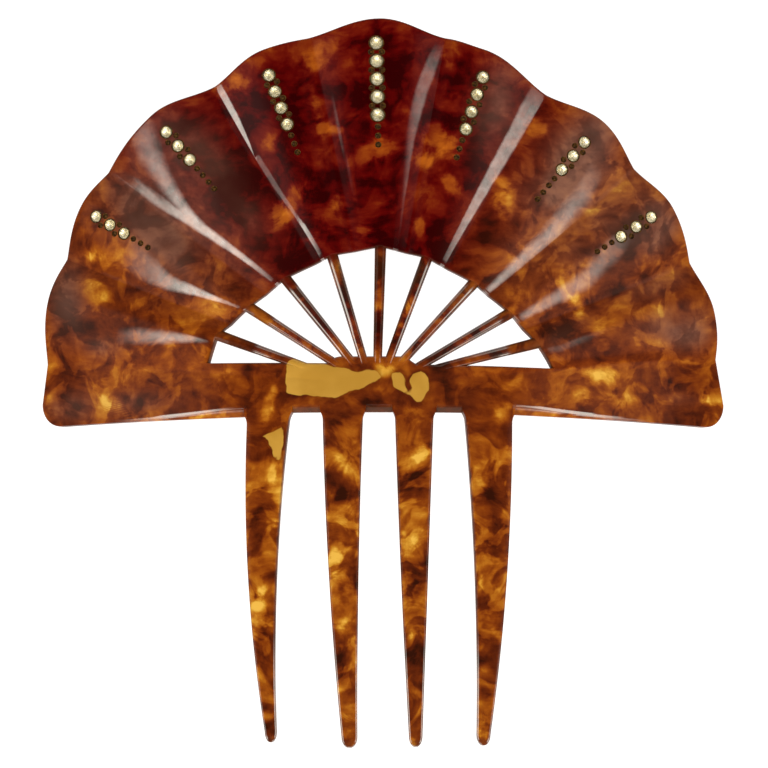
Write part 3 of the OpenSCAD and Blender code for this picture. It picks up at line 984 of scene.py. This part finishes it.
def edgeDistance(u, v):  # how far inside the scalloped edge
    pairs = []
    for crease, creaseReach, crest, crestReach in pleats:
        pairs += [(crease, creaseReach), (crest, crestReach)]
    return between(fanAngle(u, v), pairs + [lastCrease]) - math.hypot(u, v)


def insideOutline(x, y, outline):  # millimetres inside an outline, and less than 0 outside it
    inside, nearest = False, farOutside
    for (ax, ay), (bx, by) in zip(outline, outline[1:] + outline[:1]):
        if (ay > y) != (by > y) and x < mix(ax, bx, (y - ay) / (by - ay)):
            inside = not inside
        share = ((x - ax) * (bx - ax) + (y - ay) * (by - ay)) / ((bx - ax) ** 2 + (by - ay) ** 2)
        share = clamp(share)
        nearest = min(nearest, math.hypot(x - mix(ax, bx, share), y - mix(ay, by, share)))
    return nearest if inside else -nearest


def glossAt(u, v):  # how far inside a strip, and the gloss there
    angle, reach = fanAngle(u, v), math.hypot(u, v)
    best, gloss = outsideStrip, 0.0
    for strip, softness in zip(glossStrips, stripSoftness):
        if reach > strip[0][1] or reach < strip[-1][1] - stripRunOn:
            continue
        middle, half, shine = [between(-reach, [(-row[1], row[k]) for row in strip]) for k in (0, 2, 3)]
        inside = max(outsideStrip, (1 - abs(angle - middle) / half) / softness)
        if inside > best:
            best, gloss = inside, shine
    return best, gloss


def shareOf(value, run):  # how far a value is from the start of a run to its end
    return (value - run[0]) / (run[1] - run[0])


def barShare(u, v):  # 1 on the bar, the sticks and the teeth, and 0 on the fan and the wings
    if math.hypot(u, v) < tones["hubRun"]:
        return 1.0
    return 1 - ease(shareOf(abs(u), tones["barRun"])) if v < sheet["hubTop"] else 0.0


def thinnedBy(u, v):  # how far a tooth's face lies below the sheet's
    if v > -sheet["barDrop"] or not teeth[0][0] < u < teeth[3][1]:
        return 0.0
    share = clamp((-v - sheet["barDrop"]) / toothForm["taperRun"])
    return (sheet["thickness"] - toothForm["tipThickness"]) / 2 * share


def bevelAt(u, v):  # millimetres below the upper border of a wing's bevel, and how deep the bevel is
    side = -1 if u < 0 else 1
    root = teeth[0][0] if side < 0 else teeth[3][1]
    share = (u - root) / (side * (wings["reach"][side] - wings["cornerRadius"]) - root)
    if not 0 < share < 1:
        return noBevel
    bevel = ease(1 - share / sheet["bevelFade"])
    border = mix(-wings["drop"][side], -wings["tipDrop"], share) + sheet["bevelWidth"] * bevel
    return border - v, bevel


def polishAt(u, v, w):
    below, bevel = bevelAt(u, v)
    if w > sheet["thickness"] / 2 and abs(below) < polish["bevelLineWidth"]:
        return polish["bevelLine"] * clamp(tones["bevelRise"] * bevel)
    fall = sheet["thickness"] - thinnedBy(u, v) - w
    if fall > polish["sideFall"] and v < polish["sideTop"] - sheet["barDrop"]:
        side = mix(polish["toothSide"], polish["tip"], ease(shareOf(-v, polish["tipRun"])))
        margin = polish["sideMargin"]
        return side if teeth[0][0] - margin < u < teeth[3][1] + margin else polish["fan"]
    if v > sheet["hubTop"]:
        aside = shareOf(abs(fanAngle(u, v) - 90), polish["stickTurn"])
        stick = mix(polish["middleStick"], polish["stick"], ease(aside))
        return mix(polish["fan"], stick, barShare(u, v))
    fade = ease(shareOf(abs(u), polish["barRun"]))
    return mix(polish["fan"], polish["bar"], barShare(u, v) * (1 - fade))


# painted shade: the sides and rounded edges are darkened in the colour
def edgeAt(u, v, w):  # 1 on the sides of the sheet, the teeth and the sticks, and 0 on their faces
    fall = min(sheet["thickness"] - w, w) - thinnedBy(u, v)
    if barShare(u, v) == 1 and v > sheet["hubTop"]:
        return clamp(fall / edgeShade["stickRun"])
    below, bevel = bevelAt(u, v)
    onBevel = bevel > edgeShade["leastBevel"] and below > -edgeShade["bevelMargin"]
    share = edgeShade["bevel"] if onBevel and w > edgeShade["bevelFloor"] else 1
    return clamp(fall / edgeShade["run"]) * share


def patternAt(u, v, x, y):  # tone, stir, and 1 where the dark parts are brown and 0 where they are red
    angle = fanAngle(u, v)
    turns = (tones["leftTurn"], tones["rightTurn"])
    side = max(ease((far - angle) / (far - near)) for near, far in turns)
    rim = 1 - ease(edgeDistance(u, v) / tones["rimWidth"])
    base = mix(tones["fanMiddle"], tones["fanSide"], side)
    base += tones["rimLift"] * rim * (1 - tones["rimLoss"] * side)
    stir = mix(stirs["fanMiddle"], stirs["fanSide"], side)
    down = clamp(-(v + sheet["barDrop"]) / tones["toothRun"]) if teeth[0][0] < u < teeth[3][1] else 0
    up = clamp(shareOf(v, tones["stickRun"]))
    bar = mix(mix(tones["bar"], tones["tooth"], down), tones["stick"], up)
    share = barShare(u, v)
    below, bevel = bevelAt(u, v)
    onBevel = clamp(below + tones["bevelMargin"]) * clamp(tones["bevelRise"] * bevel)
    tone = mix(base, bar, share) + tones["bevelLift"] * onBevel
    tone += sum(smoothBump(x, y, patch) for patch in shadePatches)
    barStir = mix(mix(stirs["bar"], stirs["tooth"], down), stirs["stick"], up)
    return tone, mix(stir, barStir, share), mix(side, mix(1, tones["stickBrown"], up), share)


names = ("tone", "stir", "brown", "cloud", "paintedSheen", "pale", "strip", "gloss", "polish", "edge")
fields = {name: [] for name in names}
left, right, bottom, top = paleBox
for vertex, flat in zip(comb.data.vertices, flatPoints):
    x, y = frontPlace(vertex.co)
    for name, value in zip(names, patternAt(flat.x, flat.y, x, y)):
        fields[name].append(value)
    for name, value in zip(("strip", "gloss"), glossAt(flat.x, flat.y)):
        fields[name].append(value)
    fields["cloud"].append(sum(smoothBump(x, y, patch) for patch in tonePatches))
    fields["polish"].append(polishAt(*flat) ** (1 / polish["power"]))
    fields["edge"].append(edgeAt(*flat))
    fields["paintedSheen"].append(clamp(sum(smoothBump(x, y, patch) for patch in paintedSheenPatches)))
    near = left < x < right and bottom < y < top
    fields["pale"].append(max(insideOutline(x, y, o) for o in paleOutlines) if near else -farOutside)
for name, values in fields.items():
    comb.data.attributes.new(name, "FLOAT", "POINT").data.foreach_set("value", values)
charts = (shadePatches, tonePatches, paintedSheenPatches, paleOutlines)
print("pattern fields:", sum(len(chart) for chart in charts), "patches")


def srgb(r, g, b):
    return [c / 255 / 12.92 if c <= 10 else ((c / 255 + 0.055) / 1.055) ** 2.4 for c in (r, g, b)] + [1]


def addNode(tree, kind, inputs, **settings):
    node = tree.nodes.new("ShaderNode" + kind)
    for name, value in settings.items():
        setattr(node, name, value)
    for name, value in inputs.items():
        if isinstance(value, bpy.types.NodeSocket):
            tree.links.new(value, node.inputs[name])
        else:
            node.inputs[name].default_value = value
    return node


def calculate(tree, operation, a, b=0.0):
    return addNode(tree, "Math", {0: a, 1: b}, operation=operation).outputs[0]


def stretch(tree, value, low, high, newLow=0.0, newHigh=1.0, smooth=True):
    return addNode(tree, "MapRange", {
        "Value": value, "From Min": low, "From Max": high, "To Min": newLow, "To Max": newHigh,
    }, interpolation_type="SMOOTHSTEP" if smooth else "LINEAR").outputs["Result"]


def noiseOf(tree, place, scale, detail=3.0, rough=0.5, warp=0.0):
    return addNode(tree, "TexNoise", {
        "Vector": place, "Scale": scale, "Detail": detail, "Roughness": rough, "Distortion": warp,
    }).outputs["Fac"]


def times(tree, a, b):
    return calculate(tree, "MULTIPLY", a, b)


def plus(tree, a, b):
    return calculate(tree, "ADD", a, b)


def centred(tree, noise, amount):  # a noise that lies around 0, and how strong it is
    return times(tree, calculate(tree, "SUBTRACT", noise, 0.5), amount)


def blend(tree, share, below, above):
    return addNode(tree, "MixRGB", {"Fac": share, "Color1": below, "Color2": above}).outputs[0]


def field(tree, name):
    return addNode(tree, "Attribute", {}, attribute_name=name).outputs["Fac"]


def moved(tree, place, **settings):
    return addNode(tree, "Mapping", {"Vector": place, **settings}).outputs["Vector"]


def rampOf(tree, tone, table):
    ramp = addNode(tree, "ValToRGB", {"Fac": tone})
    stops = ramp.color_ramp.elements
    stops[0].color, stops[1].color = srgb(*table[0][1]), srgb(*table[-1][1])
    for share, colour in table[1:-1]:
        stops.new(share).color = srgb(*colour)
    return ramp.outputs["Color"]


def startMaterial(material):
    material.use_nodes = True
    tree = material.node_tree
    place = addNode(tree, "TexCoord", {}).outputs["Object"]
    return tree, tree.nodes["Principled BSDF"], moved(tree, place, Scale=(1000, 1000, 1000))


shell = {
    # share along the ramp, colour
    "redRamp": [
        (0.00, (44, 0, 1)), (0.14, (80, 3, 3)), (0.28, (101, 20, 8)), (0.42, (123, 45, 13)),
        (0.56, (147, 69, 17)), (0.70, (172, 90, 22)), (0.84, (194, 120, 34)), (1.00, (216, 156, 60)),
    ],
    "brownRamp": [
        (0.00, (46, 14, 3)), (0.14, (78, 27, 6)), (0.28, (102, 40, 8)), (0.42, (125, 57, 11)),
        (0.56, (148, 77, 15)), (0.70, (174, 106, 26)), (0.84, (201, 144, 46)), (1.00, (225, 178, 76)),
    ],
    "driftScale": 0.05,
    "driftDetail": 2.0,
    "drift": 9,
    # scale, detail, roughness and distortion of each noise
    "clouds": (0.10, 3, 0.5),
    "mottles": (0.30, 4, 0.55, 0.3),
    "streaks": (1.0, 4, 0.55),
    "ragged": (0.24, 4, 0.55),
    "patches": (0.15, 3, 0.55, 0.6),
    "wander": (0.3, 2, 0.4),
    "edgeShadeNoise": (0.6, 3, 0.6),
    "wear": (0.45, 4, 0.65),
    "waves": (0.09, 2, 0.4),
    "streakTurn": 38,
    "streakScale": (0.14, 0.52, 0.3),
    # what is read from a noise or a field: from, to, and what that becomes
    "raggedRange": (0.34, 0.64, 0.3, 1.6),
    "patchRange": (0.46, 0.56, -0.5, 0.5),
    "stirRange": (0.6, 1.4),
    "paintedSheenRange": (0.3, 0.6, 0.45, 1.0),
    "paintedSheenTones": (0.05, 0.6),
    "swirlRange": (-1.3, 0.0),
    "paleRange": (-0.05, 0.2),
    "paleClouds": (0.35, 0.65),
    "edgeShadeRange": (0.3, 0.7, 0.45, 0.9),
    "wearRange": (0.35, 0.65, 0.72, 1.12),
    # how much each noise adds at a stir of 1
    "cloud": 0.6,
    "mottle": 0.55,
    "streak": 0.35,
    "patch": 0.2,             # patches with a sharper edge, where the stir is strong
    # what the charted patches add, past the start of their edge and up to its end
    "patchEdge": (0.04, 0.30),
    "lightPatch": 0.28,
    "darkPatch": 0.20,
    "patchBody": 0.3,
    "paintedSheenStrength": 0.8,
    "swirlStrength": 0.35,
    "paleWander": 1.6,        # how far the outlines of the pale patches wander, in millimetres
    "fray": 0.7,              # how ragged the borders of the glossy strips are
    "roughness": 0.3,
    "specular": 0.03,
    "coatIor": 2.1,
    "coatRoughness": 0.04,
    "waviness": 0.10,
    "waveHeight": 0.0006,
}


tints = {
    # painted sheen: the purple-grey of a dim reflection, and its darker shade
    "paintedSheen": (124, 88, 75),
    "paintedSheenShade": (93, 61, 51),
    "pale": (191, 147, 62),
    "paleShade": (176, 132, 50),
    "darkSwirl": (62, 14, 3),  # around the pale patches
    # painted shade on the sides and rounded edges
    "edge": (66, 34, 12),
}


def makeShellMaterial(material):
    tree, surface, place = startMaterial(material)
    tint = {name: srgb(*colour) for name, colour in tints.items()}
    drift = addNode(tree, "TexNoise", {
        "Vector": place, "Scale": shell["driftScale"], "Detail": shell["driftDetail"],
    }).outputs["Color"]
    flowing = addNode(tree, "VectorMath", {
        0: drift, 1: [shell["drift"]] * 3, 2: place,
    }, operation="MULTIPLY_ADD").outputs["Vector"]
    clouds = noiseOf(tree, flowing, *shell["clouds"])
    mottles = noiseOf(tree, flowing, *shell["mottles"])
    turn = (0, 0, math.radians(shell["streakTurn"]))
    turned = moved(tree, flowing, Rotation=turn, Scale=shell["streakScale"])
    streaks = noiseOf(tree, turned, *shell["streaks"])
    stirred = centred(tree, clouds, shell["cloud"])
    for noise, amount in ((mottles, shell["mottle"]), (streaks, shell["streak"])):
        stirred = plus(tree, stirred, centred(tree, noise, amount))
    patches = stretch(tree, noiseOf(tree, flowing, *shell["patches"]), *shell["patchRange"])
    strong = stretch(tree, field(tree, "stir"), *shell["stirRange"], 0.0, shell["patch"], False)
    stirred = plus(tree, stirred, times(tree, patches, strong))
    tone = plus(tree, field(tree, "tone"), times(tree, stirred, field(tree, "stir")))

    ragged = stretch(tree, noiseOf(tree, flowing, *shell["ragged"]), *shell["raggedRange"], False)
    charted = times(tree, field(tree, "cloud"), ragged)
    start, end = shell["patchEdge"]
    for low, high, lift in ((start, end, shell["lightPatch"]), (-start, -end, -shell["darkPatch"])):
        tone = plus(tree, tone, stretch(tree, charted, low, high, 0.0, lift))
    tone = plus(tree, tone, times(tree, charted, shell["patchBody"]))
    red, brown = rampOf(tree, tone, shell["redRamp"]), rampOf(tree, tone, shell["brownRamp"])
    colour = blend(tree, field(tree, "brown"), red, brown)

    # painted reflection: a purple-grey sheen mixed into the colour where the charted clouds lie
    paintedSheen = times(tree, field(tree, "paintedSheen"), stretch(tree, clouds, *shell["paintedSheenRange"]))
    paintedSheenTone = stretch(tree, tone, *shell["paintedSheenTones"])
    paintedSheenColour = blend(tree, paintedSheenTone, tint["paintedSheenShade"], tint["paintedSheen"])
    colour = blend(tree, times(tree, paintedSheen, shell["paintedSheenStrength"]), colour, paintedSheenColour)
    wander = centred(tree, noiseOf(tree, place, *shell["wander"]), shell["paleWander"])
    inside = plus(tree, field(tree, "pale"), wander)
    swirl = times(tree, stretch(tree, inside, *shell["swirlRange"]), shell["swirlStrength"])
    colour = blend(tree, swirl, colour, tint["darkSwirl"])
    paleClouds = stretch(tree, clouds, *shell["paleClouds"])
    paleColour = blend(tree, paleClouds, tint["pale"], tint["paleShade"])
    colour = blend(tree, stretch(tree, inside, *shell["paleRange"]), colour, paleColour)
    # painted shade: the sides and rounded edges darkened, broken up by noise
    edgeShadeBreakup = stretch(tree, noiseOf(tree, place, *shell["edgeShadeNoise"]), *shell["edgeShadeRange"])
    colour = blend(tree, times(tree, field(tree, "edge"), edgeShadeBreakup), colour, tint["edge"])

    waves = addNode(tree, "Bump", {
        "Height": noiseOf(tree, place, *shell["waves"]), "Strength": shell["waviness"],
        "Distance": shell["waveHeight"],
    })
    tree.links.new(colour, surface.inputs["Base Color"])
    tree.links.new(waves.outputs["Normal"], surface.inputs["Normal"])
    surface.inputs["Roughness"].default_value = shell["roughness"]
    surface.inputs["Specular IOR Level"].default_value = shell["specular"]
    surface.inputs["Coat IOR"].default_value = shell["coatIor"]
    surface.inputs["Coat Roughness"].default_value = shell["coatRoughness"]
    frayed = centred(tree, mottles, shell["fray"])
    strip = stretch(tree, plus(tree, field(tree, "strip"), frayed), 0.0, 1.0)
    worn = stretch(tree, noiseOf(tree, place, *shell["wear"]), *shell["wearRange"], False)
    shine = times(tree, times(tree, strip, worn), field(tree, "gloss"))
    polished = calculate(tree, "POWER", field(tree, "polish"), polish["power"])
    tree.links.new(calculate(tree, "MAXIMUM", shine, polished), surface.inputs["Coat Weight"])


# Two colours, the noise that stirs them and what is read from it, and the shader's settings.
finishes = {
    "grime": {
        "colours": ((40, 22, 6), (98, 66, 20)),
        "noise": (2.2, 4, 0.6),
        "range": (0.35, 0.65),
        "settings": {"Roughness": 0.5, "Specular IOR Level": 0.15},
    },
    "glass": {
        "colours": ((255, 254, 246), (248, 242, 220)),
        "noise": (1.2, 3, 0.5),
        "range": (0.35, 0.7),
        "settings": {"Roughness": 0.03, "IOR": 1.5, "Transmission Weight": 1.0},
    },
    "foil": {
        "colours": ((255, 250, 228), (206, 192, 140)),
        "noise": (1.6, 4, 0.6),
        "range": (0.45, 0.72),
        "settings": {"Metallic": 0.75, "Roughness": 0.22},
    },
}


def makeStirredMaterial(material, finish):
    tree, surface, place = startMaterial(material)
    share = stretch(tree, noiseOf(tree, place, *finish["noise"]), *finish["range"])
    below, above = [srgb(*colour) for colour in finish["colours"]]
    tree.links.new(blend(tree, share, below, above), surface.inputs["Base Color"])
    for name, value in finish["settings"].items():
        surface.inputs[name].default_value = value


makeShellMaterial(combMaterial)
makeStirredMaterial(grimeMaterial, finishes["grime"])
makeStirredMaterial(glassMaterial, finishes["glass"])
makeStirredMaterial(foilMaterial, finishes["foil"])
print("materials made")


# A white table lit from below, a tall soft box on each side and a small one in front, and
# dark overhead. Angles are degrees round from the right, and degrees up.
studio = {
    "floorSize": 6.0,
    "floorColour": (150, 150, 150),
    "floorRoughness": 0.9,
    "floorSpecular": 0.1,
    "floorGlow": 0.92,
    "overhead": 0.05,
    "warmth": (1.0, 0.935, 0.82, 1.0),
    "around": 0.25,            # brightness of the room near the floor
    "aroundFade": (20, 50),
    "boxSill": 0.03,           # softness of a soft box's lower side
}
# direction, half width, softness at the sides, bottom, full up to, faded out at, brightness
softBoxes = [
    (180, 24, 3, 24, 50, 64, 4.5),
    (2.5, 24, 3, 24, 50, 64, 4.2),
    (90, 50, 10, 12, 34, 44, 1.0),
    (270, 50, 10, 12, 38, 48, 3.4),
    (270, 22, 6, 54, 60, 70, 4.0),
]


def addFloor():
    deselectAll()
    bpy.ops.mesh.primitive_plane_add(size=studio["floorSize"])
    floor = bpy.context.object
    floor.name = floor.data.name = "studio_floor"
    material = bpy.data.materials.new("white_floor")
    surface = startMaterial(material)[1]
    surface.inputs["Base Color"].default_value = srgb(*studio["floorColour"])
    surface.inputs["Roughness"].default_value = studio["floorRoughness"]
    surface.inputs["Specular IOR Level"].default_value = studio["floorSpecular"]
    surface.inputs["Emission Color"].default_value = (1, 1, 1, 1)
    surface.inputs["Emission Strength"].default_value = studio["floorGlow"]
    floor.data.materials.append(material)


def boxShare(tree, direction, height, box):
    middle, half, soft, bottom, full, top, brightness = box
    facing = addNode(tree, "VectorRotate", {
        "Vector": direction, "Angle": -math.radians(middle),
    }, rotation_type="Z_AXIS").outputs["Vector"]
    parts = addNode(tree, "SeparateXYZ", {"Vector": facing})
    around = calculate(tree, "ARCTAN2", parts.outputs["Y"], parts.outputs["X"])
    aside = calculate(tree, "ABSOLUTE", around)
    half, soft, bottom, full, top = [math.radians(a) for a in (half, soft, bottom, full, top)]
    sill = studio["boxSill"]
    share = times(tree, stretch(tree, aside, half - soft, half + soft, brightness, 0.0),
                  stretch(tree, height, bottom - sill, bottom + sill))
    return times(tree, share, stretch(tree, height, full, top, 1.0, 0.0))


def makeSky():
    world = bpy.data.worlds.new("studio")
    bpy.context.scene.world = world
    world.use_nodes = True
    tree = world.node_tree
    direction = addNode(tree, "TexCoord", {}).outputs["Generated"]
    height = calculate(tree, "ARCSINE", addNode(tree, "SeparateXYZ", {"Vector": direction}).outputs["Z"])
    low, high = [math.radians(a) for a in studio["aroundFade"]]
    light = stretch(tree, height, low, high, studio["around"], studio["overhead"])
    for box in softBoxes:
        light = plus(tree, light, boxShare(tree, direction, height, box))
    tree.links.new(light, tree.nodes["Background"].inputs["Strength"])
    tree.nodes["Background"].inputs["Color"].default_value = studio["warmth"]


addFloor()
makeSky()

camera = bpy.data.cameras.new("photo_camera")
camera.lens = camera.sensor_width * photoView["distance"] / photoView["frameWidth"]
camera.clip_end = photoView["clipEnd"]
cameraObject = bpy.data.objects.new("photo_camera", camera)
bpy.context.collection.objects.link(cameraObject)
photoRight = Vector((1, 0, 0))
aim = hub + photoRight * photoView["hubOffset"][0] + photoUp * photoView["hubOffset"][1]
turned = Matrix((photoRight, photoUp, towardsCamera)).transposed().to_4x4()
cameraObject.matrix_world = Matrix.Translation(aim + towardsCamera * photoView["distance"]) @ turned
bpy.context.scene.camera = cameraObject
bpy.context.scene.view_settings.view_transform = "Standard"
